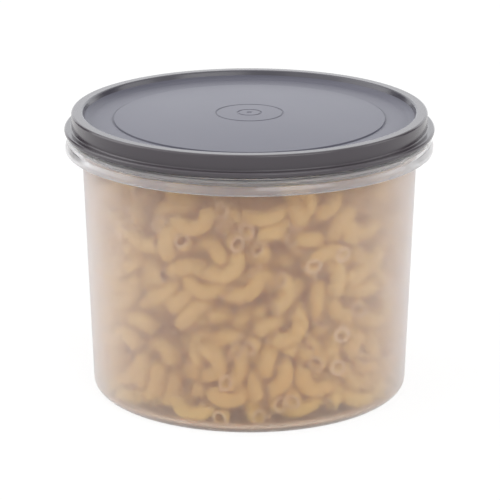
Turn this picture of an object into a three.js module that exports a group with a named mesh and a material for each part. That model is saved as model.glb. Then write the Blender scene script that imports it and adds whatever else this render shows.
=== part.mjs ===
// Round food canister with a press-on lid: a translucent moulded tub and a one-piece seal lid.
// Millimetres, +Z up, origin at the centre of the face that the canister stands on.
import * as THREE from "three";

// Facets round the axis, and steps in each rounded corner and in the lid's crown.
const AROUND = 48;
const CORNER_STEPS = 3;
const CROWN_STEPS = 4;

// Canister: a tapered wall on a foot ring, with a flange, a hanging skirt and an upright sealing lip.
// Radii are outside sizes: the mouth's is given, and the foot, lip and skirt are set off from it.
const MOUTH_RADIUS = 75.0;
const WALL_TAPER = 3.9;
const CANISTER_WALL = 1.7;
const FOOT_CORNER = 4.5;
const FOOT_RING_WIDTH = 8.2;
const FOOT_RECESS = 0.6;
const FLOOR_THICKNESS = 1.5;
const FLOOR_CORNER = 3.4;
const FLANGE_TOP = 118.7;
const FLANGE_THICKNESS = 1.4;
const NECK_FLARE = 3.0;
const NECK_FLARE_HEIGHT = 4.4;
const LIP_WALL = 1.3;
const LIP_HEIGHT = 7.7;
const SKIRT_REACH = 4.7;
const SKIRT_WALL = 1.4;
const SKIRT_DROP = 7.7;
const SKIRT_BEAD_HEIGHT = 4.8;
const SKIRT_BEAD_STEP = 0.7;

// Fit between the two mouldings: beside the lip, and under the lid's flange and ridge.
const LIP_CLEARANCE = 0.3;
const SEAT_GAP = 0.3;

// Lid: a flange, a hollow ridge over the lip, a plug ring inside the mouth and a crowned panel.
const LID_OVERHANG = 0.3;
const LID_FLANGE_THICKNESS = 2.2;
const RIDGE_WALL = 1.5;
const RIDGE_ROOF = 1.5;
const RIDGE_CORNER = 0.9;
const RIDGE_DRAFT = 1.9;
const PANEL_WALL = 1.5;
const PANEL_STEP = 0.5;
const PANEL_STEP_DRAFT = 0.25;
const STEP_GROOVE_DEPTH = 0.3;
const GUTTER_CORNER = 3.4;
const GUTTER_WIDTH = 14.0;
const PANEL_RING_DEPTH = 3.6;
const CENTRE_DEPTH = 1.5;
const CENTRE_RING_RADII = [5.2, 15.0];
const GROOVE_WIDTH = 1.0;
const GROOVE_DEPTH = 0.5;
const PLUG_DEPTH = 3.9;

const EDGE_BREAK = 0.5;

// Levels and radii that follow from the sizes above.
const footRadius = MOUTH_RADIUS - WALL_TAPER;
const footRingInnerRadius = footRadius - FOOT_RING_WIDTH;
const neckInnerRadius = MOUTH_RADIUS - CANISTER_WALL;
const lipInnerRadius = neckInnerRadius + NECK_FLARE;
const lipOuterRadius = lipInnerRadius + LIP_WALL;
const skirtRadius = lipOuterRadius + SKIRT_REACH;
const lidFlangeRadius = skirtRadius + LID_OVERHANG;
const lipTop = FLANGE_TOP + LIP_HEIGHT;
const skirtBottom = FLANGE_TOP - SKIRT_DROP;
const flangeUnderside = FLANGE_TOP - FLANGE_THICKNESS;
const floorTop = FOOT_RECESS + FLOOR_THICKNESS;
const seatLevel = FLANGE_TOP + SEAT_GAP;
const channelInnerRadius = lipInnerRadius - LIP_CLEARANCE;
const channelOuterRadius = lipOuterRadius + LIP_CLEARANCE;
const ridgeInnerRadius = channelInnerRadius - RIDGE_WALL;
const gutterRadius = ridgeInnerRadius - RIDGE_DRAFT;
const panelRingRadius = ridgeInnerRadius - GUTTER_WIDTH;
const ridgeOuterRadius = channelOuterRadius + RIDGE_WALL;
const channelRoof = lipTop + LIP_CLEARANCE;
const ridgeTop = channelRoof + RIDGE_ROOF;
const panelRingLevel = ridgeTop - PANEL_RING_DEPTH;
const gutterLevel = panelRingLevel - PANEL_STEP;
const centreLevel = ridgeTop - CENTRE_DEPTH;
const plugBottom = gutterLevel - PANEL_WALL - PLUG_DEPTH;

const naturalPolypropylene = new THREE.MeshStandardMaterial({
  name: "natural_polypropylene",
  color: 0xd9cfc4,
  roughness: 0.45,
  metalness: 0,
  transparent: true,
  opacity: 0.45,
});
const slateGreyPolyethylene = new THREE.MeshStandardMaterial({
  name: "slate_grey_polyethylene",
  color: 0x5a5860,
  roughness: 0.4,
  metalness: 0,
});

// Turns corners [radius, height, fillet] into profile points. A corner with a fillet becomes an arc,
// which takes at most half of each straight beside it.
function profileOf(corners) {
  const at = corners.map(([radius, height]) => new THREE.Vector2(radius, height));
  return corners.flatMap(([, , fillet = 0], i) => {
    const corner = at[i];
    if (!fillet) return [corner];
    const back = at[i - 1].clone().sub(corner);
    const ahead = at[i + 1].clone().sub(corner);
    const room = Math.min(back.length(), ahead.length()) / 2;
    back.normalize();
    ahead.normalize();
    const halfAngle = Math.acos(THREE.MathUtils.clamp(back.dot(ahead), -1, 1)) / 2;
    const radius = Math.min(fillet, room * Math.tan(halfAngle));
    const tangent = radius / Math.tan(halfAngle);
    const centre = back.clone().add(ahead).normalize();
    centre.multiplyScalar(radius / Math.sin(halfAngle)).add(corner);
    const start = back.clone().multiplyScalar(tangent).add(corner).sub(centre).angle();
    const end = ahead.clone().multiplyScalar(tangent).add(corner).sub(centre).angle();
    const sweep = THREE.MathUtils.euclideanModulo(end - start + Math.PI, 2 * Math.PI) - Math.PI;
    return Array.from({ length: CORNER_STEPS + 1 }, (_, step) => {
      const turn = start + (sweep * step) / CORNER_STEPS;
      return new THREE.Vector2(Math.cos(turn), Math.sin(turn)).multiplyScalar(radius).add(centre);
    });
  });
}

// A closed solid of revolution about +Z. The corners run from the axis back to the axis, with the
// material on their left.
function turned(name, corners, material) {
  const geometry = new THREE.LatheGeometry(profileOf(corners), AROUND);
  geometry.rotateX(Math.PI / 2);
  const mesh = new THREE.Mesh(geometry, material);
  mesh.name = name;
  return mesh;
}

// Height of the lid's crowned panel at a radius inside its ring.
function crownLevel(radius) {
  const share = radius / panelRingRadius;
  return centreLevel + (panelRingLevel - centreLevel) * share ** 2;
}

// A V-groove in the lid's crowned panel.
function grooveAt(radius) {
  const inner = radius - GROOVE_WIDTH / 2;
  const outer = radius + GROOVE_WIDTH / 2;
  return [
    [inner, crownLevel(inner)],
    [radius, crownLevel(radius) - GROOVE_DEPTH],
    [outer, crownLevel(outer)],
  ];
}

// Radii at even steps between two rings, without the rings themselves.
function between(inner, outer) {
  const width = (outer - inner) / CROWN_STEPS;
  return Array.from({ length: CROWN_STEPS - 1 }, (_, step) => inner + width * (step + 1));
}

function canister() {
  const flareBottom = flangeUnderside - NECK_FLARE_HEIGHT;
  const skirtUpperRadius = skirtRadius - SKIRT_BEAD_STEP;
  const skirtInnerRadius = skirtUpperRadius - SKIRT_WALL;
  const beadTop = skirtBottom + SKIRT_BEAD_HEIGHT;
  const outside = [
    [0, FOOT_RECESS],
    [footRingInnerRadius - FOOT_RECESS, FOOT_RECESS],
    [footRingInnerRadius, 0],
    [footRadius, 0, FOOT_CORNER],
    [MOUTH_RADIUS, flareBottom],
    [lipOuterRadius, flangeUnderside],
    [skirtInnerRadius, flangeUnderside, EDGE_BREAK],
    [skirtInnerRadius, skirtBottom],
    [skirtRadius, skirtBottom, EDGE_BREAK],
    [skirtRadius, beadTop],
    [skirtUpperRadius, beadTop + SKIRT_BEAD_STEP],
    [skirtUpperRadius, FLANGE_TOP, EDGE_BREAK],
    [lipOuterRadius, FLANGE_TOP],
    [lipOuterRadius, lipTop, LIP_WALL / 2],
  ];
  const inside = [
    [lipInnerRadius, lipTop, LIP_WALL / 2],
    [lipInnerRadius, flangeUnderside],
    [neckInnerRadius, flareBottom],
    [footRadius - CANISTER_WALL, floorTop, FLOOR_CORNER],
    [0, floorTop],
  ];
  return turned("canister", [...outside, ...inside], naturalPolypropylene);
}

function lid() {
  const flangeTop = seatLevel + LID_FLANGE_THICKNESS;
  const [gateRing, discRing] = CENTRE_RING_RADII;
  const underPanel = (radius) => [radius, crownLevel(radius) - PANEL_WALL];
  const underside = [
    [0, centreLevel - PANEL_WALL],
    ...between(0, panelRingRadius).map(underPanel),
    underPanel(panelRingRadius),
    [panelRingRadius + PANEL_WALL, gutterLevel - PANEL_WALL],
    [ridgeInnerRadius, gutterLevel - PANEL_WALL],
    [ridgeInnerRadius, plugBottom],
    [channelInnerRadius, plugBottom, EDGE_BREAK],
    [channelInnerRadius, channelRoof],
    [channelOuterRadius, channelRoof],
    [channelOuterRadius, seatLevel],
    [lidFlangeRadius, seatLevel, EDGE_BREAK],
  ];
  const top = [
    [lidFlangeRadius, flangeTop, EDGE_BREAK],
    [ridgeOuterRadius, flangeTop],
    [ridgeOuterRadius, ridgeTop, RIDGE_CORNER],
    [ridgeInnerRadius, ridgeTop, RIDGE_CORNER],
    [gutterRadius, gutterLevel, GUTTER_CORNER],
    [panelRingRadius + GROOVE_WIDTH, gutterLevel],
    [panelRingRadius + PANEL_STEP_DRAFT, gutterLevel - STEP_GROOVE_DEPTH],
    [panelRingRadius, panelRingLevel],
    ...between(discRing, panelRingRadius).reverse().map((radius) => [radius, crownLevel(radius)]),
    ...grooveAt(discRing).reverse(),
    ...grooveAt(gateRing).reverse(),
    [0, centreLevel],
  ];
  return turned("lid", [...underside, ...top], slateGreyPolyethylene);
}

const foodCanister = new THREE.Group();
foodCanister.name = "food_canister";
foodCanister.add(canister(), lid());

export default foodCanister;
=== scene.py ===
"""A round food canister with a press-on lid, filled with elbow macaroni, in a plain white studio.

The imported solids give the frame. The canister and the lid are turned again with finer corners and finishes,
and the macaroni is packed into the canister from a seeded random start.
"""

import logging
import math
from abc import ABC, abstractmethod
from dataclasses import dataclass
from enum import Enum
from typing import Any, Mapping, Optional, Sequence, Union

import bpy
import numpy as np
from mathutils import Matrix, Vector

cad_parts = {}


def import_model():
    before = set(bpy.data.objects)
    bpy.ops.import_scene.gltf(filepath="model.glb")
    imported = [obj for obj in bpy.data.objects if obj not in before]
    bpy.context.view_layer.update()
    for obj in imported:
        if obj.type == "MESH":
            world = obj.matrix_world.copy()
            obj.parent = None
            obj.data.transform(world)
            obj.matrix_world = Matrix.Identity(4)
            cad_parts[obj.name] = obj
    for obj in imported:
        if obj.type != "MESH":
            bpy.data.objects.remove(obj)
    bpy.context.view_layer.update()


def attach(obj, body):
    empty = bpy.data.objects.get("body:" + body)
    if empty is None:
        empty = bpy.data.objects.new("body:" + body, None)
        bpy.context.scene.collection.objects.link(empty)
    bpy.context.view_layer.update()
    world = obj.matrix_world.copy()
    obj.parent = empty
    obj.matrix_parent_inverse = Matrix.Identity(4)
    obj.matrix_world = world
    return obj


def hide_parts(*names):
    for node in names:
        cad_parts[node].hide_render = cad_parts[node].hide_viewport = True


LOG = logging.getLogger("food_canister")
MM = 0.001

# Sockets of a colour Mix node, by index, because each kind of value repeats their names.
MIX_FACTOR, MIX_FIRST, MIX_SECOND, MIX_RESULT = 0, 6, 7, 2

# A noise's middle, and the finer octaves in a plain and in a cloudy one.
NOISE_MIDDLE = 0.5
PLAIN_DETAIL, CLOUD_DETAIL = 2.0, 3.0

# Lengths below these count as none, in metres: a distance from the axis, and one between two balls.
ON_AXIS = 1e-9
TOUCHING = 1e-12

Colour = tuple[float, float, float, float]
Operand = Union["Signal", float]


class Body(Enum):
    """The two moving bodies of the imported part."""

    CANISTER = "canister"
    LID = "lid"


class CanisterFace(Enum):
    """Finishes on the canister, by material index."""

    FROSTED = 0
    RIM = 1
    INSIDE = 2
    FOOT = 3
    SEAT = 4
    NECK = 5


class LidFace(Enum):
    """Finishes on the lid, by material index."""

    GRAINED = 0
    POLISHED = 1
    SATIN = 2


class PastaFace(Enum):
    """Finishes on the macaroni, by material index."""

    SKIN = 0
    CUT = 1


class Slope(Enum):
    """How a rise runs between its two levels."""

    EVEN = "LINEAR"
    SMOOTH = "SMOOTHSTEP"


def grey(level: float) -> Colour:
    """A neutral colour at one linear level."""
    return (level, level, level, 1.0)


def shaded(colour: Colour, share: float) -> Colour:
    """A colour at a share of its brightness."""
    return tuple(level * share for level in colour[:3]) + (1.0,)


class Signal:
    """An output socket that works in Python expressions: each operator adds one Math node."""

    def __init__(self, graph: "Graph", socket: Optional[bpy.types.NodeSocket]) -> None:
        """Keeps the graph that takes new nodes, and the socket."""
        self.graph = graph
        self.socket = socket

    def output(self, name: str) -> "Signal":
        """Another output of the same node."""
        return Signal(self.graph, self.socket.node.outputs[name])

    def __add__(self, other: Operand) -> "Signal":
        """Sum."""
        return self.graph.math("ADD", self, other)

    def __radd__(self, other: Operand) -> "Signal":
        """Sum with a number on the left."""
        return self.graph.math("ADD", other, self)

    def __sub__(self, other: Operand) -> "Signal":
        """Difference."""
        return self.graph.math("SUBTRACT", self, other)

    def __rsub__(self, other: Operand) -> "Signal":
        """Difference from a number on the left."""
        return self.graph.math("SUBTRACT", other, self)

    def __mul__(self, other: Operand) -> "Signal":
        """Product."""
        return self.graph.math("MULTIPLY", self, other)

    def __rmul__(self, other: Operand) -> "Signal":
        """Product with a number on the left."""
        return self.graph.math("MULTIPLY", other, self)

    def at_least(self, other: Operand) -> "Signal":
        """The larger of two values."""
        return self.graph.math("MAXIMUM", self, other)


class Graph:
    """A node tree, cleared, which finishes fill."""

    def __init__(self, tree: bpy.types.NodeTree) -> None:
        """Clears the tree and keeps it."""
        self.tree = tree
        self.tree.nodes.clear()

    def node(
        self,
        kind: str,
        settings: Optional[Mapping[str, Any]] = None,
        inputs: Optional[Mapping[Union[str, int], Any]] = None,
        output: Union[str, int] = 0,
    ) -> Signal:
        """Adds one node, sets its options and then its sockets.

        Args:
            kind: the node's type, such as ShaderNodeTexNoise.
            settings: option names and values.
            inputs: socket names or indices, with a value or a Signal to link.
            output: the output that the result stands for.

        Returns:
            The chosen output, without a socket on a node that has none.
        """
        made = self.tree.nodes.new(kind)
        for name, value in (settings or {}).items():
            setattr(made, name, value)
        for name, value in (inputs or {}).items():
            if isinstance(value, Signal):
                self.tree.links.new(value.socket, made.inputs[name])
            else:
                made.inputs[name].default_value = value
        return Signal(self, made.outputs[output] if len(made.outputs) else None)

    def math(self, operation: str, first: Operand, second: Operand) -> Signal:
        """A Math node on two values."""
        return self.node("ShaderNodeMath", {"operation": operation}, {0: first, 1: second})

    def mix(self, factor: Operand, first: Any, second: Any) -> Signal:
        """A blend of two colours, by a factor from 0 to 1."""
        inputs = {MIX_FACTOR: factor, MIX_FIRST: first, MIX_SECOND: second}
        return self.node("ShaderNodeMix", {"data_type": "RGBA"}, inputs, MIX_RESULT)

    def noise(self, place: Signal, size: float, detail: float = PLAIN_DETAIL) -> Signal:
        """Soft noise from 0 to 1, with features of about one size in metres and some finer octaves."""
        inputs = {"Vector": place, "Scale": 1.0 / size, "Detail": detail}
        return self.node("ShaderNodeTexNoise", inputs=inputs)

    def rise(self, value: Signal, levels: tuple[float, float], slope: Slope = Slope.EVEN) -> Signal:
        """A rise from 0 to 1 between two levels of a value."""
        inputs = {"Value": value, "From Min": levels[0], "From Max": levels[1]}
        return self.node("ShaderNodeMapRange", {"interpolation_type": slope.value}, inputs)

    def place(self) -> Signal:
        """Coordinates fixed to the piece, in metres."""
        return self.node("ShaderNodeTexCoord", output="Object")

    def seen(self) -> Signal:
        """1 for rays that show the picture: from the camera, off a shine or through a clear wall."""
        ray = self.node("ShaderNodeLightPath", output="Is Camera Ray")
        return ray.at_least(ray.output("Is Glossy Ray")).at_least(ray.output("Is Transmission Ray"))

    def bump(self, height: Signal, depth: float) -> Signal:
        """A normal bent by heights from 0 to 1, where 1 stands for a depth in metres."""
        return self.node("ShaderNodeBump", inputs={"Height": height, "Distance": depth})


@dataclass(frozen=True)
class Finish(ABC):
    """How a surface looks.

    Attributes:
        name: the material's name.
    """

    name: str

    @abstractmethod
    def shader(self, graph: Graph) -> Signal:
        """Wires the finish's nodes, and gives the shader that they end in."""

    def material(self) -> bpy.types.Material:
        """Makes the finish's material.

        Returns:
            The material, with its nodes.
        """
        made = bpy.data.materials.new(self.name)
        made.use_nodes = True
        graph = Graph(made.node_tree)
        graph.node("ShaderNodeOutputMaterial", inputs={"Surface": self.shader(graph)})
        return made


@dataclass(frozen=True)
class WallEnds:
    """How a translucent wall changes towards its foot and its rim, between pairs of levels in metres: painted
    shade deepens its colour there, and its milky share thins at the foot.

    Attributes:
        foot_shade_tint: linear colour that the wall takes close to the foot, a painted shade.
        neck_shade_tint: linear colour that the wall takes close to the rim, a painted shade under the skirt.
        foot_share: how much of the milky share is left at the foot.
        foot_levels: where the foot's painted shade starts to fade, and where it is gone.
        neck_levels: where the neck's painted shade starts, and where it is full.
        thin_levels: where the milky share starts to grow, and where it is full.
    """

    foot_shade_tint: Colour
    neck_shade_tint: Colour
    foot_share: float
    foot_levels: tuple[float, float] = (6 * MM, 60 * MM)
    neck_levels: tuple[float, float] = (96 * MM, 112 * MM)
    thin_levels: tuple[float, float] = (6 * MM, 20 * MM)

    def passing_and_shade(self, graph: Graph, height: Signal, tint: Signal) -> Signal:
        """The tint, deepened by painted shade towards the foot and the rim."""
        # painted shade: the wall's colour deepens towards the foot and under the skirt
        lower = graph.mix(graph.rise(height, self.foot_levels, Slope.SMOOTH), self.foot_shade_tint, tint)
        return graph.mix(graph.rise(height, self.neck_levels, Slope.SMOOTH), lower, self.neck_shade_tint)

    def thinned(self, graph: Graph, height: Signal, milkiness: float) -> Signal:
        """The milky share, thinner at the foot."""
        full = graph.rise(height, self.thin_levels, Slope.SMOOTH)
        return milkiness * (self.foot_share + (1.0 - self.foot_share) * full)


@dataclass(frozen=True)
class TranslucentPlastic(Finish):
    """Natural polypropylene: a clear share that the moulded grain blurs, and a milky share that glows; on
    some finishes the milky share's colour is partly painted light.

    Attributes:
        tint: linear colour of the light that passes.
        milk_and_painted_light: linear colour of the milky share, which on some finishes also holds painted
            shade or a painted warm glow.
        milkiness: the milky share.
        roughness: the grain's blur.
        veil: strength of the pale bloom at a slant.
        grain_depth: height of the moulded grain, in metres.
        bend: index of refraction.
        coat: strength of a polished skin's shine.
        ends: how the finish changes towards the wall's ends, painted shade included, if it does.
        shine: strength of the bare surface's shine.
        veil_spread: how far the bloom reaches in from the slant.
        veil_tint: linear colour of the bloom.
        wander: how far red, green and blue light wander in the milky share, as shares of wander_depth.
        wander_depth: how far light wanders in the milky share, in metres.
        forward: how much of the wandering light keeps its direction.
        flow_size: size of the flow marks, in metres.
        flow_shade: brightness of the flow marks.
        uneven: how far the blur varies with the flow marks.
        grain_size: size of the moulded grain, in metres.
    """

    tint: Colour
    milk_and_painted_light: Colour
    milkiness: float
    roughness: float
    veil: float
    grain_depth: float
    bend: float = 1.49
    coat: float = 0.0
    ends: Optional[WallEnds] = None
    shine: float = 0.35
    veil_spread: float = 0.6
    veil_tint: Colour = (0.99, 0.975, 0.98, 1.0)
    wander: tuple[float, float, float] = (1.0, 0.9, 0.8)
    wander_depth: float = 2.0 * MM
    forward: float = 0.6
    flow_size: float = 28 * MM
    flow_shade: float = 0.96
    uneven: float = 0.1
    grain_size: float = 0.5 * MM

    def shader(self, graph: Graph) -> Signal:
        """Wires the finish's nodes.

        Args:
            graph: the graph to fill.

        Returns:
            The shader that they end in.
        """
        place = graph.place()
        flow = graph.noise(place, self.flow_size, CLOUD_DETAIL)
        grain = graph.noise(place, self.grain_size)
        common = {
            "Roughness": self.roughness * (1.0 - self.uneven / 2 + self.uneven * flow),
            "IOR": self.bend,
            "Specular IOR Level": self.shine,
            "Coat Weight": self.coat,
            "Coat Roughness": self.roughness,
            "Sheen Weight": self.veil,
            "Sheen Roughness": self.veil_spread,
            "Sheen Tint": self.veil_tint,
            "Normal": graph.bump(grain, self.grain_depth),
        }
        passing_and_shade = graph.mix(flow, shaded(self.tint, self.flow_shade), self.tint)
        share: Operand = self.milkiness
        if self.ends is not None:
            height = graph.node("ShaderNodeSeparateXYZ", inputs={0: place}, output="Z")
            # painted shade: the tint deepens towards the foot and under the skirt
            passing_and_shade = self.ends.passing_and_shade(graph, height, passing_and_shade)
            share = self.ends.thinned(graph, height, self.milkiness)
        clear = graph.node(
            "ShaderNodeBsdfPrincipled",
            inputs={**common, "Base Color": passing_and_shade, "Transmission Weight": 1.0},
        )
        # the milky share's colour holds painted shade or a painted warm glow on some finishes
        milky = graph.node(
            "ShaderNodeBsdfPrincipled",
            inputs={
                **common,
                "Base Color": graph.mix(flow, shaded(self.milk_and_painted_light, self.flow_shade), self.milk_and_painted_light),
                "Subsurface Weight": 1.0,
                "Subsurface Radius": self.wander,
                "Subsurface Scale": self.wander_depth,
                "Subsurface Anisotropy": self.forward,
            },
        )
        return graph.node("ShaderNodeMixShader", inputs={0: share, 1: clear, 2: milky})


@dataclass(frozen=True)
class SatinPlastic(Finish):
    """Opaque slate grey moulding plastic, with a fine grain and faint flow marks.

    Attributes:
        colour: linear base colour.
        roughness: mean roughness.
        spread: how far the roughness varies.
        grain: the grain's size, in metres.
        grain_depth: the grain's height, in metres.
        bloom: strength of the pale bloom that the grain shows at a slant.
        bloom_spread: how far the bloom reaches in from the slant.
        bloom_tint: linear colour of the bloom.
        bend: index of refraction.
        flow_size: size of the flow marks, in metres.
        flow_shade: brightness of the flow marks.
    """

    colour: Colour
    roughness: float
    spread: float
    grain: float
    grain_depth: float
    bloom: float = 0.0
    bloom_spread: float = 0.5
    bloom_tint: Colour = (0.93, 0.93, 1.0, 1.0)
    bend: float = 1.51
    flow_size: float = 35 * MM
    flow_shade: float = 0.9

    def shader(self, graph: Graph) -> Signal:
        """Wires the finish's nodes.

        Args:
            graph: the graph to fill.

        Returns:
            The shader that they end in.
        """
        place = graph.place()
        flow = graph.noise(place, self.flow_size, CLOUD_DETAIL)
        grain = graph.noise(place, self.grain)
        return graph.node(
            "ShaderNodeBsdfPrincipled",
            inputs={
                "Base Color": graph.mix(flow, shaded(self.colour, self.flow_shade), self.colour),
                "Roughness": self.roughness + self.spread * (flow - NOISE_MIDDLE),
                "IOR": self.bend,
                "Sheen Weight": self.bloom,
                "Sheen Roughness": self.bloom_spread,
                "Sheen Tint": self.bloom_tint,
                "Normal": graph.bump(grain, self.grain_depth),
            },
        )


@dataclass(frozen=True)
class Pasta(Finish):
    """Dried durum wheat: warm yellow, slightly waxy, with pale specks and a shade of its own on each elbow.

    Attributes:
        pale: linear colour of the lightest elbows.
        deep: linear colour of the darkest elbows.
        roughness: mean roughness.
        specks: how strongly the pale specks show.
        speck_colour: linear colour of the specks.
        speck_levels: the fine noise where a speck starts to show, and where it is full.
        own_share: how much of an elbow's shade is its own; the rest is cloudy.
        cloud_size: size of the cloudy patches, in metres.
        cloud_spread: how far the roughness varies with them.
        fine_size: size of the specks and of the skin's relief, in metres.
        relief: height of the skin's relief, in metres.
        bend: index of refraction.
    """

    pale: Colour
    deep: Colour
    roughness: float
    specks: float
    speck_colour: Colour = (0.9, 0.8, 0.55, 1.0)
    speck_levels: tuple[float, float] = (0.62, 0.74)
    own_share: float = 0.65
    cloud_size: float = 6 * MM
    cloud_spread: float = 0.15
    fine_size: float = 0.9 * MM
    relief: float = 0.08 * MM
    bend: float = 1.5

    def shader(self, graph: Graph) -> Signal:
        """Wires the finish's nodes.

        Args:
            graph: the graph to fill.

        Returns:
            The shader that they end in.
        """
        place = graph.place()
        own = graph.node("ShaderNodeNewGeometry", output="Random Per Island")
        cloud = graph.noise(place, self.cloud_size, CLOUD_DETAIL)
        fine = graph.noise(place, self.fine_size)
        dots = self.specks * graph.rise(fine, self.speck_levels)
        body = graph.mix(self.own_share * own + (1.0 - self.own_share) * cloud, self.deep, self.pale)
        return graph.node(
            "ShaderNodeBsdfPrincipled",
            inputs={
                "Base Color": graph.mix(dots, body, self.speck_colour),
                "Roughness": self.roughness + self.cloud_spread * (cloud - NOISE_MIDDLE),
                "IOR": self.bend,
                "Normal": graph.bump(fine, self.relief),
            },
        )


@dataclass(frozen=True)
class StudioWhite(Finish):
    """The white sweep under the canister: plain to the eye, and a pale matt floor to the light.

    Attributes:
        paper: linear colour of the matt floor.
        glow: brightness of the part that shows evenly white.
        share: how much of the picture's floor is that even white; the rest keeps the shadow.
        covered: radius of the patch that the canister covers, which stays plain matt, in metres.
        soft_edge: how softly that patch ends, as a share of its radius.
        fibre_size: size of the paper's faint clouds, in metres.
        fibre_shade: brightness of those clouds.
        roughness: the paper's roughness.
    """

    paper: Colour
    glow: float
    share: float
    covered: float
    soft_edge: float = 0.04
    fibre_size: float = 4 * MM
    fibre_shade: float = 0.97
    roughness: float = 0.6

    def shader(self, graph: Graph) -> Signal:
        """Wires the finish's nodes.

        Args:
            graph: the graph to fill.

        Returns:
            The shader that they end in.
        """
        place = graph.place()
        fibre = graph.noise(place, self.fibre_size, CLOUD_DETAIL)
        away = graph.node("ShaderNodeVectorMath", {"operation": "LENGTH"}, {0: place}, output="Value")
        border = ((1.0 - self.soft_edge) * self.covered, (1.0 + self.soft_edge) * self.covered)
        white_share = self.share * graph.seen() * graph.rise(away, border)
        paper = graph.mix(fibre, shaded(self.paper, self.fibre_shade), self.paper)
        matt = graph.node("ShaderNodeBsdfDiffuse", inputs={"Color": paper, "Roughness": self.roughness})
        white = graph.node("ShaderNodeEmission", inputs={"Color": grey(1.0), "Strength": self.glow})
        return graph.node("ShaderNodeMixShader", inputs={0: white_share, 1: matt, 2: white})


@dataclass(frozen=True)
class FlagCloth(Finish):
    """Black cloth with a faint nap.

    Attributes:
        deep: linear colour of the cloth.
        pale: linear colour of its nap.
        nap_size: size of the nap, in metres.
    """

    deep: Colour = grey(0.01)
    pale: Colour = grey(0.02)
    nap_size: float = 5 * MM

    def shader(self, graph: Graph) -> Signal:
        """Wires the finish's nodes.

        Args:
            graph: the graph to fill.

        Returns:
            The shader that they end in.
        """
        nap = graph.noise(graph.place(), self.nap_size)
        colour = graph.mix(nap, self.deep, self.pale)
        return graph.node("ShaderNodeBsdfDiffuse", inputs={"Color": colour})


@dataclass(frozen=True)
class Corner:
    """A corner of a turned section.

    Attributes:
        radius: distance from the axis, in metres.
        height: level above the floor, in metres.
        rounding: radius of the rounded corner, or 0 for a point on a smooth run.
        face: finish of the face that runs from this corner to the next.
    """

    radius: float
    height: float
    rounding: float = 0.0
    face: int = 0


@dataclass(frozen=True)
class Section:
    """Half of a turned piece's cross section, from the axis round to the axis, with material on its left.

    Attributes:
        corners: the corners, in order.
        room_share: the most of a straight that one rounded corner may take.
        arc_step: the widest angle between two points of a rounded corner.
    """

    corners: tuple[Corner, ...]
    room_share: float = 0.49
    arc_step: float = math.radians(14)

    def trace(self) -> tuple[np.ndarray, np.ndarray, list[int]]:
        """Rounds the corners.

        Returns:
            The points as (radius, height), their outward normals, and the finish after each point.
        """
        at = [np.array((corner.radius, corner.height)) for corner in self.corners]
        points: list[np.ndarray] = []
        normals: list[np.ndarray] = []
        faces: list[int] = []
        for index, corner in enumerate(self.corners):
            arrive = self._unit(at[index] - at[index - 1]) if index else None
            leave = self._unit(at[index + 1] - at[index]) if index + 1 < len(at) else None
            if corner.rounding and arrive is not None and leave is not None:
                arc, facing = self._arc(at, index, arrive, leave)
                points += arc
                normals += facing
                faces += [corner.face] * len(arc)
                continue
            along = self._unit(sum(step for step in (arrive, leave) if step is not None))
            points.append(at[index])
            normals.append(self._right(along))
            faces.append(corner.face)
        return np.array(points), np.array(normals), faces

    def _arc(
        self, at: Sequence[np.ndarray], index: int, arrive: np.ndarray, leave: np.ndarray
    ) -> tuple[list[np.ndarray], list[np.ndarray]]:
        """The points and normals of one rounded corner.

        Args:
            at: every corner's place.
            index: the corner to round.
            arrive: direction of the straight before it.
            leave: direction of the straight after it.

        Returns:
            The arc's points and their outward normals.
        """
        turn = math.atan2(arrive[0] * leave[1] - arrive[1] * leave[0], float(arrive @ leave))
        room = min(np.linalg.norm(at[index] - at[index - 1]), np.linalg.norm(at[index + 1] - at[index]))
        tangent = min(self.corners[index].rounding * math.tan(abs(turn) / 2), self.room_share * room)
        radius = tangent / math.tan(abs(turn) / 2)
        side = math.copysign(1.0, turn)
        start = at[index] - tangent * arrive
        centre = start - side * radius * self._right(arrive)
        steps = max(2, math.ceil(abs(turn) / self.arc_step))
        facing = [self._turned(self._right(arrive), turn * step / steps) for step in range(steps + 1)]
        return [centre + side * radius * normal for normal in facing], facing

    @staticmethod
    def _unit(vector: np.ndarray) -> np.ndarray:
        """The vector at a length of 1."""
        return vector / np.linalg.norm(vector)

    @staticmethod
    def _right(along: np.ndarray) -> np.ndarray:
        """The direction to the right of travel, which is out of the material."""
        return np.array((along[1], -along[0]))

    @staticmethod
    def _turned(vector: np.ndarray, angle: float) -> np.ndarray:
        """The vector turned to the left by an angle."""
        cos, sin = math.cos(angle), math.sin(angle)
        return np.array((cos * vector[0] - sin * vector[1], sin * vector[0] + cos * vector[1]))


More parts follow.
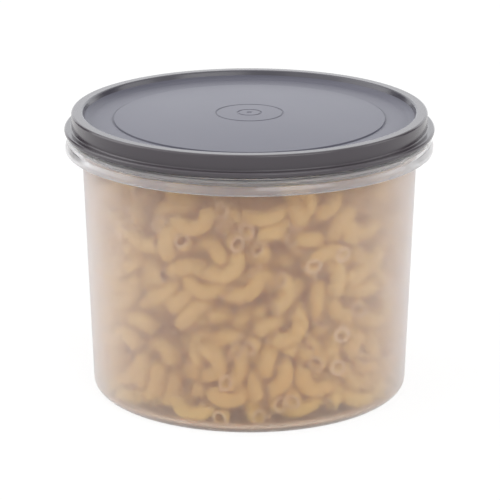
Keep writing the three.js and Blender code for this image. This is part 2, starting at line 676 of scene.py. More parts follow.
@dataclass(frozen=True)
class Lathe:
    """Turns sections into smooth meshes about the vertical axis."""

    around: int = 168

    def turn(self, name: str, section: Section) -> bpy.types.Object:
        """Makes one turned piece.

        Args:
            name: the piece's name.
            section: its half section.

        Returns:
            The new object, with normals that follow the section exactly.
        """
        points, normals, finishes = section.trace()
        angles = np.arange(self.around) * 2 * math.pi / self.around
        ring = np.stack((np.cos(angles), np.sin(angles)), -1)
        verts: list[np.ndarray] = []
        facing: list[np.ndarray] = []
        rings: list[np.ndarray] = []
        for (radius, height), (out, up) in zip(points, normals):
            first = len(verts)
            if radius < ON_AXIS:
                verts.append(np.array((0.0, 0.0, height)))
                facing.append(np.array((0.0, 0.0, math.copysign(1.0, up))))
                rings.append(np.full(self.around, first))
                continue
            verts += list(np.column_stack((radius * ring, np.full(self.around, height))))
            facing += list(np.column_stack((out * ring, np.full(self.around, up))))
            rings.append(np.arange(first, first + self.around))
        faces: list[tuple[int, ...]] = []
        indices: list[int] = []
        for low, high, finish in zip(rings, rings[1:], finishes):
            for corners in zip(low, np.roll(low, -1), np.roll(high, -1), high):
                faces.append(tuple(dict.fromkeys(int(corner) for corner in corners)))
                indices.append(finish)
        mesh = bpy.data.meshes.new(name)
        mesh.from_pydata([tuple(vert) for vert in verts], [], faces)
        mesh.polygons.foreach_set("material_index", indices)
        mesh.polygons.foreach_set("use_smooth", [True] * len(faces))
        mesh.normals_split_custom_set_from_vertices([tuple(normal) for normal in facing])
        return add_object(name, mesh)


def add_object(name: str, data: bpy.types.ID) -> bpy.types.Object:
    """Puts new data into the scene.

    Args:
        name: the object's name.
        data: its mesh, lamp or lens.

    Returns:
        The new object.
    """
    made = bpy.data.objects.new(name, data)
    bpy.context.scene.collection.objects.link(made)
    return made


def add_card(name: str, corners: Sequence[tuple[float, float, float]]) -> bpy.types.Object:
    """Puts a flat card into the scene.

    Args:
        name: the card's name.
        corners: its four corners, in order.

    Returns:
        The new object.
    """
    mesh = bpy.data.meshes.new(name)
    mesh.from_pydata(corners, [], [(0, 1, 2, 3)])
    return add_object(name, mesh)


@dataclass(frozen=True)
class Canister:
    """The translucent tub: a tapered wall on a foot ring, a flange, a hanging skirt and a sealing lip."""

    mouth_radius: float = 75.0 * MM
    wall_taper: float = 3.9 * MM
    wall: float = 1.7 * MM
    foot_corner: float = 4.5 * MM
    foot_ring_width: float = 8.2 * MM
    foot_recess: float = 0.6 * MM
    floor_thickness: float = 1.5 * MM
    floor_corner: float = 3.4 * MM
    flange_top: float = 118.7 * MM
    flange_thickness: float = 1.4 * MM
    neck_flare: float = 3.0 * MM
    neck_flare_height: float = 4.4 * MM
    lip_wall: float = 1.3 * MM
    lip_height: float = 7.7 * MM
    skirt_reach: float = 4.7 * MM
    skirt_wall: float = 1.4 * MM
    skirt_drop: float = 7.7 * MM
    bead_height: float = 1.9 * MM
    bead_step: float = 0.9 * MM
    bead_rise: float = 2.3 * MM
    bead_round: float = 4.0 * MM
    edge: float = 0.45 * MM
    flare_round: float = 0.9 * MM
    seat_reach: float = 1.125 * MM

    @property
    def foot_radius(self) -> float:
        """Outside of the wall at the foot."""
        return self.mouth_radius - self.wall_taper

    @property
    def floor_top(self) -> float:
        """Level of the inside floor."""
        return self.foot_recess + self.floor_thickness

    @property
    def lip_inner_radius(self) -> float:
        """Inside of the sealing lip."""
        return self.mouth_radius - self.wall + self.neck_flare

    @property
    def lip_outer_radius(self) -> float:
        """Outside of the sealing lip."""
        return self.lip_inner_radius + self.lip_wall

    @property
    def lip_top(self) -> float:
        """Top of the sealing lip."""
        return self.flange_top + self.lip_height

    @property
    def skirt_radius(self) -> float:
        """Outside of the skirt's bead."""
        return self.lip_outer_radius + self.skirt_reach

    @property
    def flare_bottom(self) -> float:
        """Level where the neck starts to flare out to the lip."""
        return self.flange_top - self.flange_thickness - self.neck_flare_height

    def inner_radius(self, height: np.ndarray) -> np.ndarray:
        """Inside radius of the tapered wall at some levels."""
        share = np.clip(height / self.flare_bottom, 0.0, 1.0)
        return self.foot_radius + self.wall_taper * share - self.wall

    def section(self) -> Section:
        """Draws the tub.

        Returns:
            Its half section.
        """
        frosted, rim, inside, foot, seat, neck = (face.value for face in CanisterFace)
        edge = self.edge
        under_flange = self.flange_top - self.flange_thickness
        skirt_bottom = self.flange_top - self.skirt_drop
        bead_top = skirt_bottom + self.bead_height
        upper_radius = self.skirt_radius - self.bead_step
        inside_skirt = upper_radius - self.skirt_wall
        ring_inner = self.foot_radius - self.foot_ring_width
        return Section((
            Corner(0.0, self.foot_recess, face=foot),
            Corner(ring_inner - self.foot_recess, self.foot_recess, edge, foot),
            Corner(ring_inner, 0.0, edge, foot),
            Corner(self.foot_radius, 0.0, self.foot_corner, frosted),
            Corner(self.mouth_radius, self.flare_bottom, self.flare_round, neck),
            Corner(self.lip_outer_radius, under_flange, edge, seat),
            Corner(inside_skirt, under_flange, edge, seat),
            Corner(inside_skirt, under_flange - self.seat_reach, face=neck),
            Corner(inside_skirt, skirt_bottom, edge, rim),
            Corner(self.skirt_radius, skirt_bottom, edge, rim),
            Corner(self.skirt_radius, bead_top, self.bead_round, rim),
            Corner(upper_radius, bead_top + self.bead_rise, self.bead_round / 2, neck),
            Corner(upper_radius, self.flange_top, edge, neck),
            Corner(self.lip_outer_radius, self.flange_top, edge, neck),
            Corner(self.lip_outer_radius, self.lip_top, self.lip_wall / 2, rim),
            Corner(self.lip_inner_radius, self.lip_top, self.lip_wall / 2, rim),
            Corner(self.lip_inner_radius, under_flange, edge, inside),
            Corner(self.mouth_radius - self.wall, self.flare_bottom, self.flare_round, inside),
            Corner(self.foot_radius - self.wall, self.floor_top, self.floor_corner, foot),
            Corner(0.0, self.floor_top, face=foot),
        ))

    def build(self, lathe: Lathe) -> bpy.types.Object:
        """Turns the tub and puts it in place of its solid.

        Args:
            lathe: what turns the section.

        Returns:
            The dressed tub.
        """
        piece = lathe.turn("canister_tub", self.section())
        self.dress(piece)
        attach(piece, Body.CANISTER.value)
        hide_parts("canister")
        return piece

    @staticmethod
    def dress(piece: bpy.types.Object) -> None:
        """Gives the tub its finishes, in the order of CanisterFace.

        Args:
            piece: the turned tub.
        """
        for finish in (
            TranslucentPlastic(
                # painted light: the rosy milk colour paints in the warm glow that the macaroni throws into
                # the wall
                name="frosted_polypropylene", tint=(1.0, 0.94, 0.88, 1.0), milk_and_painted_light=(0.93, 0.50, 0.32, 1.0),
                milkiness=0.24, roughness=0.3, veil=1.0, grain_depth=0.006 * MM,
                # painted shade: deeper tints darken the wall near the foot and under the skirt
                ends=WallEnds(
                    foot_shade_tint=(0.94, 0.82, 0.66, 1.0), neck_shade_tint=(1.0, 0.86, 0.69, 1.0), foot_share=0.6
                ),
            ),
            TranslucentPlastic(
                # painted shade: the grey milk darkens the collar, standing in for the lid's shadow and dark
                # reflections
                name="rim_polypropylene", tint=(0.98, 0.97, 0.98, 1.0), milk_and_painted_light=(0.39, 0.38, 0.40, 1.0),
                milkiness=0.36, roughness=0.12, veil=1.0, bend=1.2, coat=1.0, grain_depth=0.002 * MM,
            ),
            TranslucentPlastic(
                name="inside_polypropylene", tint=(1.0, 0.98, 0.95, 1.0), milk_and_painted_light=(0.95, 0.93, 0.91, 1.0),
                milkiness=0.04, roughness=0.16, veil=0.0, grain_depth=0.002 * MM,
            ),
            TranslucentPlastic(
                name="foot_polypropylene", tint=(0.99, 0.95, 0.88, 1.0), milk_and_painted_light=(0.72, 0.61, 0.53, 1.0),
                milkiness=0.40, roughness=0.3, veil=0.8, grain_depth=0.004 * MM,
            ),
            TranslucentPlastic(
                # painted shade: the dark grey milk darkens the band under the lid's flange
                name="seat_polypropylene", tint=(0.98, 0.97, 0.97, 1.0), milk_and_painted_light=(0.34, 0.327, 0.322, 1.0),
                milkiness=0.6, roughness=0.4, veil=0.0, grain_depth=0.004 * MM,
            ),
            TranslucentPlastic(
                # painted shade: the dark grey milk darkens the upper band under the lid's flange
                name="neck_polypropylene", tint=(0.98, 0.97, 0.97, 1.0), milk_and_painted_light=(0.34, 0.32, 0.35, 1.0),
                milkiness=0.12, roughness=0.12, veil=0.35, bend=1.2, coat=0.6, grain_depth=0.002 * MM,
            ),
        ):
            piece.data.materials.append(finish.material())


@dataclass(frozen=True)
class Lid:
    """The slate grey seal lid: a flange, a hollow ridge over the lip, a plug ring and a crowned panel."""

    canister: Canister
    clearance: float = 0.3 * MM
    overhang: float = 0.3 * MM
    flange_thickness: float = 2.2 * MM
    ridge_wall: float = 1.5 * MM
    ridge_roof: float = 1.5 * MM
    ridge_corner: float = 1.0 * MM
    ridge_draft: float = 1.9 * MM
    panel_wall: float = 1.5 * MM
    panel_step: float = 0.5 * MM
    panel_step_draft: float = 0.25 * MM
    step_groove_depth: float = 0.3 * MM
    gutter_corner: float = 3.4 * MM
    gutter_width: float = 14.0 * MM
    panel_ring_depth: float = 3.6 * MM
    centre_depth: float = 1.5 * MM
    centre_rings: tuple[float, ...] = (15.0 * MM, 5.2 * MM)
    groove_width: float = 1.0 * MM
    groove_depth: float = 0.5 * MM
    gate_radius: float = 1.5 * MM
    plug_depth: float = 3.9 * MM
    edge: float = 0.45 * MM
    flange_round: float = 0.9 * MM
    ridge_foot_round: float = 0.675 * MM
    step_round: float = 0.18 * MM
    step_groove_round: float = 0.135 * MM
    groove_round: float = 0.27 * MM
    gate_round: float = 0.225 * MM
    gate_depth: float = 0.35 * MM
    crown_steps: int = 10

    @property
    def seat(self) -> float:
        """Level of the flange's underside."""
        return self.canister.flange_top + self.clearance

    @property
    def channel_inner(self) -> float:
        """Inside radius of the channel that closes over the lip."""
        return self.canister.lip_inner_radius - self.clearance

    @property
    def channel_outer(self) -> float:
        """Outside radius of the channel that closes over the lip."""
        return self.canister.lip_outer_radius + self.clearance

    @property
    def ridge_inner(self) -> float:
        """Inside radius of the ridge."""
        return self.channel_inner - self.ridge_wall

    @property
    def panel_ring(self) -> float:
        """Radius of the panel's fine outer ring."""
        return self.ridge_inner - self.gutter_width

    @property
    def ridge_top(self) -> float:
        """Top of the ridge."""
        return self.canister.lip_top + self.clearance + self.ridge_roof

    def panel_level(self, radius: float) -> float:
        """Height of the crowned panel's top inside its outer ring.

        Args:
            radius: distance from the axis, in metres.

        Returns:
            The level there, in metres.
        """
        centre = self.ridge_top - self.centre_depth
        ring = self.ridge_top - self.panel_ring_depth
        return centre + (ring - centre) * (radius / self.panel_ring) ** 2

    def groove(self, radius: float) -> list[Corner]:
        """Draws a rounded groove in the crown.

        Args:
            radius: the groove's own radius, in metres.

        Returns:
            Its corners, from its outer edge to its inner edge.
        """
        half, rounding = self.groove_width / 2, self.groove_round
        return [
            Corner(radius + half, self.panel_level(radius + half), rounding),
            Corner(radius, self.panel_level(radius) - self.groove_depth, rounding),
            Corner(radius - half, self.panel_level(radius - half), rounding),
        ]

    def crown(self, outer: float, inner: float, drop: float) -> list[Corner]:
        """Points of the crown between two radii, without the ends.

        Args:
            outer: the radius to start inside of.
            inner: the radius to stop outside of.
            drop: how far below the top face the points lie.

        Returns:
            The points, from outside to inside.
        """
        radii = np.linspace(outer, inner, self.crown_steps + 1)[1:-1]
        return [Corner(radius, self.panel_level(radius) - drop) for radius in radii]

    def section(self) -> Section:
        """Draws the lid.

        Returns:
            Its half section.
        """
        grained, polished, satin = (face.value for face in LidFace)
        edge = self.edge
        roof = self.canister.lip_top + self.clearance
        ridge_outer = self.channel_outer + self.ridge_wall
        flange_radius = self.canister.skirt_radius + self.overhang
        flange_top = self.seat + self.flange_thickness
        ring_level = self.panel_level(self.panel_ring)
        gutter = ring_level - self.panel_step
        plug_bottom = gutter - self.panel_wall - self.plug_depth
        outer_ring, gate_ring = self.centre_rings
        hidden = self.crown(self.panel_ring, 0.0, self.panel_wall)[::-1]
        gate_level = self.panel_level(0.0) - self.gate_depth
        groove_level = gutter - self.step_groove_depth
        return Section((
            Corner(0.0, self.panel_level(0.0) - self.panel_wall),
            *hidden,
            Corner(self.panel_ring, ring_level - self.panel_wall, edge),
            Corner(self.panel_ring + self.panel_wall, gutter - self.panel_wall, edge),
            Corner(self.ridge_inner, gutter - self.panel_wall, edge),
            Corner(self.ridge_inner, plug_bottom, edge),
            Corner(self.channel_inner, plug_bottom, edge),
            Corner(self.channel_inner, roof, edge),
            Corner(self.channel_outer, roof, edge),
            Corner(self.channel_outer, self.seat, edge, polished),
            Corner(flange_radius, self.seat, self.flange_round, polished),
            Corner(flange_radius, flange_top, self.flange_round, polished),
            Corner(ridge_outer, flange_top, self.ridge_foot_round, polished),
            Corner(ridge_outer, self.ridge_top, self.ridge_corner, polished),
            Corner(self.ridge_inner, self.ridge_top, self.ridge_corner, satin),
            Corner(self.ridge_inner - self.ridge_draft, gutter, self.gutter_corner, grained),
            Corner(self.panel_ring + self.groove_width, gutter, self.step_round, grained),
            Corner(self.panel_ring + self.panel_step_draft, groove_level, self.step_groove_round, grained),
            Corner(self.panel_ring, ring_level, self.step_round, grained),
            *self.crown(self.panel_ring, outer_ring + self.groove_width, 0.0),
            *self.groove(outer_ring),
            *self.groove(gate_ring),
            Corner(self.gate_radius, self.panel_level(self.gate_radius), self.gate_round),
            Corner(self.gate_radius / 2, gate_level, self.gate_round),
            Corner(0.0, gate_level),
        ))

    def build(self, lathe: Lathe) -> bpy.types.Object:
        """Turns the lid and puts it in place of its solid.

        Args:
            lathe: what turns the section.

        Returns:
            The dressed lid.
        """
        piece = lathe.turn("seal_lid", self.section())
        self.dress(piece)
        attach(piece, Body.LID.value)
        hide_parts("lid")
        return piece

    @staticmethod
    def dress(piece: bpy.types.Object) -> None:
        """Gives the lid its finishes, in the order of LidFace.

        Args:
            piece: the turned lid.
        """
        for finish in (
            SatinPlastic(
                name="grained_slate", colour=(0.095, 0.095, 0.130, 1.0), roughness=0.5, spread=0.08,
                grain=0.35 * MM, grain_depth=0.010 * MM, bloom=0.24,
            ),
            SatinPlastic(
                name="polished_slate", colour=(0.070, 0.060, 0.071, 1.0), roughness=0.19, spread=0.06,
                grain=0.6 * MM, grain_depth=0.002 * MM,
            ),
            SatinPlastic(
                name="satin_slate", colour=(0.076, 0.072, 0.090, 1.0), roughness=0.22, spread=0.06,
                grain=0.5 * MM, grain_depth=0.004 * MM,
            ),
        ):
            piece.data.materials.append(finish.material())


@dataclass(frozen=True)
class Macaroni:
    """Elbow macaroni packed into the canister: rigid bent tubes that grow from thin wires and push apart.

    Each elbow is a chain of balls along its bend. The balls grow to the tube's size step by step, overlaps
    push them apart, and each elbow then takes the rigid place that fits its balls best.

    Attributes:
        canister: the tub to fill.
        count: how many elbows there are.
        seed: start of the random draws.
        tube_radius: outside of a tube, in metres.
        bore_radius: inside of a tube, in metres.
        bend_radius: least and greatest radius of a bend, in metres.
        bend_angle: least and greatest angle of a bend.
        top: highest level that the elbows reach, in metres.
        gap: room that is kept to the wall and the floor, in metres.
        balls: balls in a chain.
        end_inset: how far a chain's last ball lies inside the tube's end, in tube radii.
        wall_margin: room that is kept to the wall as the elbows are thrown in, in metres.
        floor_margin: the same above the floor.
        top_margin: the same below the top.
        steps: steps of growing and pushing.
        growing: the share of the steps in which the balls grow.
        first_size: the balls' size at the start, as a share of the full one.
        search_every: steps between two searches for pairs that may touch.
        search_reach: how far beyond touching such a pair may lie, in metres.
        push: how strongly overlaps are undone.
        sink: how far the balls sink in a step, in metres.
        spread: how far the outer balls lean to the wall in a step, in metres.
        pulling: the share of the steps in which balls sink and lean.
        nudges: shifts of whole elbows, at the end.
        sides: facets round a tube.
        rings: rings of points along a tube's skin.
        bore_rings: rings of points along its bore.
        layers: pieces that the elbows are shared out to.
    """

    canister: Canister
    count: int = 880
    seed: int = 11
    tube_radius: float = 3.7 * MM
    bore_radius: float = 2.55 * MM
    bend_radius: tuple[float, float] = (7.0 * MM, 8.0 * MM)
    bend_angle: tuple[float, float] = (2.2, 3.6)
    top: float = 117.0 * MM
    gap: float = 0.2 * MM
    balls: int = 9
    end_inset: float = 0.55
    wall_margin: float = 7 * MM
    floor_margin: float = 5 * MM
    top_margin: float = 4 * MM
    steps: int = 320
    growing: float = 0.6
    first_size: float = 0.25
    search_every: int = 4
    search_reach: float = 2.1 * MM
    push: float = 1.6
    sink: float = 0.015 * MM
    spread: float = 0.012 * MM
    pulling: float = 0.85
    nudges: int = 6
    sides: int = 12
    rings: int = 8
    bore_rings: int = 4
    layers: int = 3

    def settle(self) -> tuple[np.ndarray, np.ndarray, np.ndarray, np.ndarray, np.ndarray]:
        """Packs the elbows.

        Returns:
            The elbows' middles, turns, bend radii and bend angles, and each middle's offset from its bend's
            centre.
        """
        rng = np.random.default_rng(self.seed)
        bend = rng.uniform(*self.bend_radius, self.count)
        angle = rng.uniform(*self.bend_angle, self.count)
        half = angle / 2 - self.end_inset * self.tube_radius / bend
        sweep = np.linspace(-1.0, 1.0, self.balls)[None, :] * half[:, None]
        chain = bend[:, None, None] * np.stack((np.sin(sweep), np.cos(sweep), np.zeros_like(sweep)), -1)
        offset = chain.mean(1, keepdims=True)
        chain = chain - offset
        balls = self._scatter(rng, chain)
        for step in range(self.steps):
            grown = self.first_size + (1.0 - self.first_size) * step / (self.steps * self.growing)
            size = 2 * self.tube_radius * min(1.0, grown)
            if step % self.search_every == 0:
                pairs = self._near(balls.reshape(-1, 3), size + self.search_reach)
            pushed = self._part(balls.reshape(-1, 3), pairs, size)
            if step < self.steps * self.pulling:
                pushed = self._pull(pushed)
            balls, middle, turn = self._stiffen(self._contain(pushed).reshape(balls.shape), chain)
        return middle[:, 0], turn, bend, angle, offset[:, 0]

    def _scatter(self, rng: np.random.Generator, chain: np.ndarray) -> np.ndarray:
        """Throws the elbows into the canister at random places and turns.

        Args:
            rng: what draws the places and turns.
            chain: each elbow's own balls about its middle.

        Returns:
            Every ball's place, by elbow.
        """
        quat = rng.normal(size=(self.count, 4))
        w, x, y, z = (quat / np.linalg.norm(quat, axis=1, keepdims=True)).T
        turn = np.stack((
            1 - 2 * (y * y + z * z), 2 * (x * y - z * w), 2 * (x * z + y * w),
            2 * (x * y + z * w), 1 - 2 * (x * x + z * z), 2 * (y * z - x * w),
            2 * (x * z - y * w), 2 * (y * z + x * w), 1 - 2 * (x * x + y * y),
        ), -1).reshape(-1, 3, 3)
        reach = np.sqrt(rng.uniform(0.0, 1.0, self.count)) * (self.canister.foot_radius - self.wall_margin)
        bearing = rng.uniform(0.0, 2 * math.pi, self.count)
        lowest, highest = self.canister.floor_top + self.floor_margin, self.top - self.top_margin
        level = rng.uniform(lowest, highest, self.count)
        middle = np.stack((reach * np.cos(bearing), reach * np.sin(bearing), level), -1)
        return np.einsum("nij,nkj->nki", turn, chain) + middle[:, None, :]

    def _near(self, places: np.ndarray, reach: float) -> tuple[np.ndarray, np.ndarray]:
        """Pairs of balls on different elbows that lie within reach of each other.

        Args:
            places: every ball's place.
            reach: the largest distance that counts.

        Returns:
            The two balls of each pair, as indices.
        """
        cell = np.floor((places - places.min(0)) / reach).astype(np.int64) + 1
        size = cell.max(0) + 2
        key = (cell[:, 0] * size[1] + cell[:, 1]) * size[2] + cell[:, 2]
        order = np.argsort(key, kind="stable")
        ranked = key[order]
        first: list[np.ndarray] = []
        second: list[np.ndarray] = []
        for across in np.ndindex(3, 3, 3):
            away = ((across[0] - 1) * size[1] + across[1] - 1) * size[2] + across[2] - 1
            if away < 0:
                continue
            low = np.searchsorted(ranked, ranked + away, "left")
            many = np.searchsorted(ranked, ranked + away, "right") - low
            one = np.repeat(np.arange(len(ranked)), many)
            two = np.arange(many.sum()) - np.repeat(np.cumsum(many) - many, many) + np.repeat(low, many)
            keep = one < two if away == 0 else slice(None)
            first.append(order[one[keep]])
            second.append(order[two[keep]])
        one, two = np.concatenate(first), np.concatenate(second)
        close = np.linalg.norm(places[one] - places[two], axis=1) < reach
        apart = one // self.balls != two // self.balls
        return one[close & apart], two[close & apart]

    def _part(
        self, places: np.ndarray, pairs: tuple[np.ndarray, np.ndarray], size: float
    ) -> np.ndarray:
        """Pushes overlapping balls apart.

        Args:
            places: every ball's place.
            pairs: the balls that may touch.
            size: the balls' present diameter.

        Returns:
            The new places.
        """
        one, two = pairs
        away = places[one] - places[two]
        length = np.linalg.norm(away, axis=1) + TOUCHING
        deep = length < size
        one, two = one[deep], two[deep]
        shove = away[deep] * ((size - length[deep]) / (2 * length[deep]))[:, None]
        total = len(places)
        moved = [np.bincount(one, part, total) - np.bincount(two, part, total) for part in shove.T]
        return places + self.push * np.stack(moved, -1)

    def _pull(self, places: np.ndarray) -> np.ndarray:
        """Lets the balls sink a little, and leans the outer ones to the wall.

        Args:
            places: every ball's place.

        Returns:
            The new places.
        """
        radius = np.maximum(np.linalg.norm(places[:, :2], axis=1), ON_AXIS)
        lean = self.spread * np.clip(2 * radius / self.canister.foot_radius - 1.0, 0.0, 1.0)
        places[:, :2] *= (1.0 + lean / radius)[:, None]
        places[:, 2] -= self.sink
        return places

    def _contain(self, places: np.ndarray) -> np.ndarray:
        """Keeps the balls off the wall, the floor and the lid.

        Args:
            places: every ball's place.

        Returns:
            The new places.
        """
        room = self.tube_radius + self.gap
        radius = np.maximum(np.linalg.norm(places[:, :2], axis=1), ON_AXIS)
        over = np.maximum(radius - (self.canister.inner_radius(places[:, 2]) - room), 0.0)
        places[:, :2] *= (1.0 - self.push * over / radius)[:, None]
        places[:, 2] += self.push * np.maximum(self.canister.floor_top + room - places[:, 2], 0.0)
        places[:, 2] -= self.push * np.maximum(places[:, 2] - (self.top - self.tube_radius), 0.0)
        return places

    @staticmethod
    def _stiffen(balls: np.ndarray, chain: np.ndarray) -> tuple[np.ndarray, np.ndarray, np.ndarray]:
        """Fits each rigid elbow to its moved balls.

        Args:
            balls: the moved balls of each elbow.
            chain: the elbow's own balls about its middle.

        Returns:
            The fitted balls, and each elbow's middle and turn.
        """
        middle = balls.mean(1, keepdims=True)
        left, _, right = np.linalg.svd(np.einsum("nki,nkj->nij", balls - middle, chain))
        left[:, :, 2] *= np.linalg.det(left @ right)[:, None]
        turn = left @ right
        return np.einsum("nij,nkj->nki", turn, chain) + middle, middle, turn

    def tubes(self) -> np.ndarray:
        """Every elbow's surface, as closed loops of rings: along the skin, then back along the bore.

        Returns:
            Points by elbow, ring, side and axis.
        """
        middle, turn, bend, angle, offset = self.settle()
        out = np.linspace(-0.5, 0.5, self.rings)
        back = np.linspace(0.5, -0.5, self.bore_rings)
        sweep = np.concatenate((out, back))[None, :] * angle[:, None]
        tube = np.repeat((self.tube_radius, self.bore_radius), (self.rings, self.bore_rings))
        about = np.arange(self.sides) * 2 * math.pi / self.sides
        radial = np.stack((np.sin(sweep), np.cos(sweep), np.zeros_like(sweep)), -1)
        reach = bend[:, None, None] + tube[None, :, None] * np.cos(about)[None, None, :]
        points = reach[..., None] * radial[:, :, None, :]
        points[..., 2] += tube[None, :, None] * np.sin(about)[None, None, :]
        points -= offset[:, None, None, :]
        return self._inside(np.einsum("nij,nrsj->nrsi", turn, points) + middle[:, None, None, :])

    def _inside(self, tubes: np.ndarray) -> np.ndarray:
        """Shifts whole elbows until every point clears the wall, the floor and the lid.

        Args:
            tubes: every elbow's points.

        Returns:
            The shifted points.
        """
        elbow = np.arange(len(tubes))
        for _ in range(self.nudges):
            flat = tubes.reshape(len(tubes), -1, 3)
            radius = np.linalg.norm(flat[..., :2], axis=2)
            over = radius - (self.canister.inner_radius(flat[..., 2]) - self.gap)
            worst = over.argmax(1)
            out = flat[elbow, worst, :2] / radius[elbow, worst][:, None]
            shift = np.zeros((len(tubes), 3))
            shift[:, :2] = -np.maximum(over[elbow, worst], 0.0)[:, None] * out
            shift[:, 2] = np.maximum(self.canister.floor_top + self.gap - flat[..., 2].min(1), 0.0)
            shift[:, 2] -= np.maximum(flat[..., 2].max(1) - self.top, 0.0)
            tubes = tubes + shift[:, None, None, :]
        return tubes

    def build(self) -> list[bpy.types.Object]:
        """Makes the elbows, in layers from the floor up.

        Returns:
            The dressed layers.
        """
        tubes = self.tubes()
        order = np.argsort(tubes[..., 2].mean((1, 2)), kind="stable")
        pieces = []
        for layer, chosen in enumerate(np.array_split(order, self.layers), start=1):
            name = f"macaroni_layer_{layer}"
            piece = add_object(name, self._mesh(name, tubes[chosen]))
            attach(piece, Body.CANISTER.value)
            pieces.append(piece)
        self.dress(pieces)
        return pieces

    @staticmethod
    def dress(pieces: Sequence[bpy.types.Object]) -> None:
        """Gives the layers their finishes, in the order of PastaFace.

        Args:
            pieces: the layers.
        """
        for finish in (
            Pasta(
                name="macaroni_skin", pale=(0.95, 0.80, 0.33, 1.0), deep=(0.87, 0.69, 0.22, 1.0),
                roughness=0.42, specks=0.35,
            ),
            Pasta(
                name="macaroni_cut", pale=(0.97, 0.89, 0.72, 1.0), deep=(0.93, 0.81, 0.60, 1.0),
                roughness=0.6, specks=0.2,
            ),
        ):
            material = finish.material()
            for piece in pieces:
                piece.data.materials.append(material)

    def _mesh(self, name: str, tubes: np.ndarray) -> bpy.types.Mesh:
        """Joins some elbows into one mesh.

        Args:
            name: the mesh's name.
            tubes: the elbows' points by elbow, ring, side and axis.

        Returns:
            The mesh, with the cut ends flat and in their own finish.
        """
        loops = self.rings + self.bore_rings
        index = np.arange(loops * self.sides).reshape(loops, self.sides)
        ahead, beside = np.roll(index, -1, 0), np.roll(index, -1, 1)
        quads = np.stack((index, ahead, np.roll(ahead, -1, 1), beside), -1).reshape(-1, 4)
        is_cut = np.zeros((loops, self.sides), bool)
        is_cut[[self.rings - 1, loops - 1]] = True
        shift = np.arange(len(tubes)) * loops * self.sides
        faces = (quads[None] + shift[:, None, None]).reshape(-1, 4)
        mesh = bpy.data.meshes.new(name)
        mesh.from_pydata(tubes.reshape(-1, 3).tolist(), [], faces.tolist())
        cut = np.tile(is_cut.ravel(), len(tubes))
        mesh.polygons.foreach_set("material_index", np.where(cut, PastaFace.CUT.value, PastaFace.SKIN.value))
        mesh.polygons.foreach_set("use_smooth", ~cut)
        mesh.update()
        return mesh


@dataclass(frozen=True)
class SoftBox:
    """A flat studio lamp.

    Attributes:
        name: the lamp's name.
        place: its middle.
        size: its width and height, in metres.
        level: its brightness, where 1 is white.
        aim: the point that it faces.
        colour: its linear colour.
    """

    name: str
    place: tuple[float, float, float]
    size: tuple[float, float]
    level: float
    aim: tuple[float, float, float] = (0.0, 0.0, 0.1)
    colour: tuple[float, float, float] = (1.0, 1.0, 1.0)

    def build(self) -> None:
        """Adds the lamp, which the camera doesn't show."""
        lamp = bpy.data.lights.new(self.name, "AREA")
        lamp.shape = "RECTANGLE"
        lamp.size, lamp.size_y = self.size
        lamp.color = self.colour
        lamp.energy = self.level * math.pi * self.size[0] * self.size[1]
        made = add_object(self.name, lamp)
        made.visible_camera = False
        made.location = self.place
        made.rotation_euler = (Vector(self.aim) - Vector(self.place)).to_track_quat("-Z", "Y").to_euler()


@dataclass(frozen=True)
class Flag:
    """A dark card beside the set, which only reflections show.

    Attributes:
        name: the card's name.
        bearing: its direction from the canister, in degrees from the camera's side, left negative.
        away: its distance, in metres.
        size: its width and height, in metres.
    """

    name: str
    bearing: float
    away: float
    size: tuple[float, float]

    def build(self) -> None:
        """Stands the card on the floor, facing the canister."""
        half, height = self.size[0] / 2, self.size[1]
        made = add_card(self.name, [(-half, 0, 0), (half, 0, 0), (half, 0, height), (-half, 0, height)])
        turn = math.radians(self.bearing)
        made.location = (self.away * math.sin(turn), -self.away * math.cos(turn), 0.0)
        made.rotation_euler.z = turn
        made.visible_camera = made.visible_transmission = False
        made.visible_diffuse = made.visible_shadow = False
        made.data.materials.append(FlagCloth("flag_cloth").material())


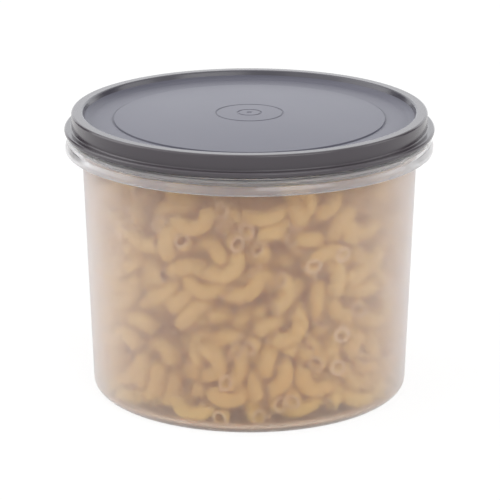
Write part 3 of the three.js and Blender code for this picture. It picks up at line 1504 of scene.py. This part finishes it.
@dataclass(frozen=True)
class Studio:
    """The camera, the white sweep, the sky, the lamps and the flags.

    Attributes:
        elevation: the camera's angle above the floor.
        distance: from the camera to the point that it looks at, in metres.
        aim_height: level of that point on the canister's axis, in metres.
        focal_pixels: the lens's focal length, in pixels of the picture.
        picture_pixels: the picture's width.
        sideways_pixels: how far the canister stands left of the picture's middle.
        sensor_width: the camera's sensor, in millimetres.
        clip: the nearest and farthest that the camera sees, in metres.
        sky_light: brightness of the sky as a light, where 1 is white.
        floor_size: width of the floor, in metres.
        floor_drop: how far the floor lies below the foot ring, in metres.
    """

    elevation: float = math.radians(17.2)
    distance: float = 1220.7 * MM
    aim_height: float = 62.3 * MM
    focal_pixels: float = 2692.0
    picture_pixels: float = 500.0
    sideways_pixels: float = 0.55
    sensor_width: float = 36.0
    clip: tuple[float, float] = (0.05, 20.0)
    sky_light: float = 0.5
    floor_size: float = 6.0
    floor_drop: float = 0.2 * MM

    def build(self) -> None:
        """Adds everything that isn't part of the object."""
        self._camera()
        self._sky()
        self._floor()
        for item in (
            SoftBox("overhead_box", place=(0.0, 0.2, 1.6), size=(1.4, 1.4), level=0.9),
            SoftBox("left_box", place=(-1.27, 0.29, 0.85), size=(1.5, 1.4), level=1.6),
            SoftBox("right_box", place=(1.5, 0.1, 0.7), size=(0.8, 0.8), level=1.4),
            SoftBox("front_box", place=(0.73, -1.31, 0.95), size=(1.4, 0.7), level=2.6),
            SoftBox("fill_box", place=(-1.1, -1.02, 0.95), size=(1.0, 0.7), level=0.8),
            SoftBox(
                "back_box", place=(0.0, 1.6, 0.55), size=(3.0, 0.9), level=0.65,
                aim=(0.0, 0.0, 0.12), colour=(0.90, 0.94, 1.0),
            ),
            Flag("left_flag", bearing=-132.0, away=1.5, size=(0.62, 1.3)),
            Flag("right_flag", bearing=121.0, away=1.5, size=(0.55, 1.3)),
        ):
            item.build()

    def _camera(self) -> None:
        """Sets the camera at the photograph's view."""
        lens = bpy.data.cameras.new("camera")
        lens.sensor_width = self.sensor_width
        lens.lens = self.sensor_width * self.focal_pixels / self.picture_pixels
        lens.shift_x = self.sideways_pixels / self.picture_pixels
        lens.clip_start, lens.clip_end = self.clip
        made = add_object("camera", lens)
        aim = Vector((0.0, 0.0, self.aim_height))
        towards = Vector((0.0, -math.cos(self.elevation), math.sin(self.elevation)))
        made.location = aim + self.distance * towards
        made.rotation_euler = (aim - made.location).to_track_quat("-Z", "Y").to_euler()
        bpy.context.scene.camera = made

    def _sky(self) -> None:
        """A white world, dimmer as a light than as a background."""
        world = bpy.data.worlds.new("studio")
        world.use_nodes = True
        bpy.context.scene.world = world
        graph = Graph(world.node_tree)
        strength = self.sky_light + (1.0 - self.sky_light) * graph.seen()
        sky = graph.node("ShaderNodeBackground", inputs={"Color": grey(1.0), "Strength": strength})
        graph.node("ShaderNodeOutputWorld", inputs={"Surface": sky})

    def _floor(self) -> None:
        """A pale floor that runs out of the picture on every side."""
        half = self.floor_size / 2
        made = add_card("floor", [(-half, -half, 0), (half, -half, 0), (half, half, 0), (-half, half, 0)])
        made.location.z = -self.floor_drop
        sweep = StudioWhite("white_sweep", paper=grey(0.80), glow=1.09, share=0.8, covered=64 * MM)
        made.data.materials.append(sweep.material())


def main() -> None:
    """Builds the canister, its contents, its lid and the studio."""
    logging.basicConfig(level=logging.INFO, format="%(name)s: %(message)s")
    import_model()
    bpy.context.scene.view_settings.view_transform = "Standard"
    lathe = Lathe()
    canister = Canister()
    pieces = [canister.build(lathe)]
    pieces += Macaroni(canister).build()
    pieces.append(Lid(canister).build(lathe))
    Studio().build()


if __name__ == "__main__":
    main()
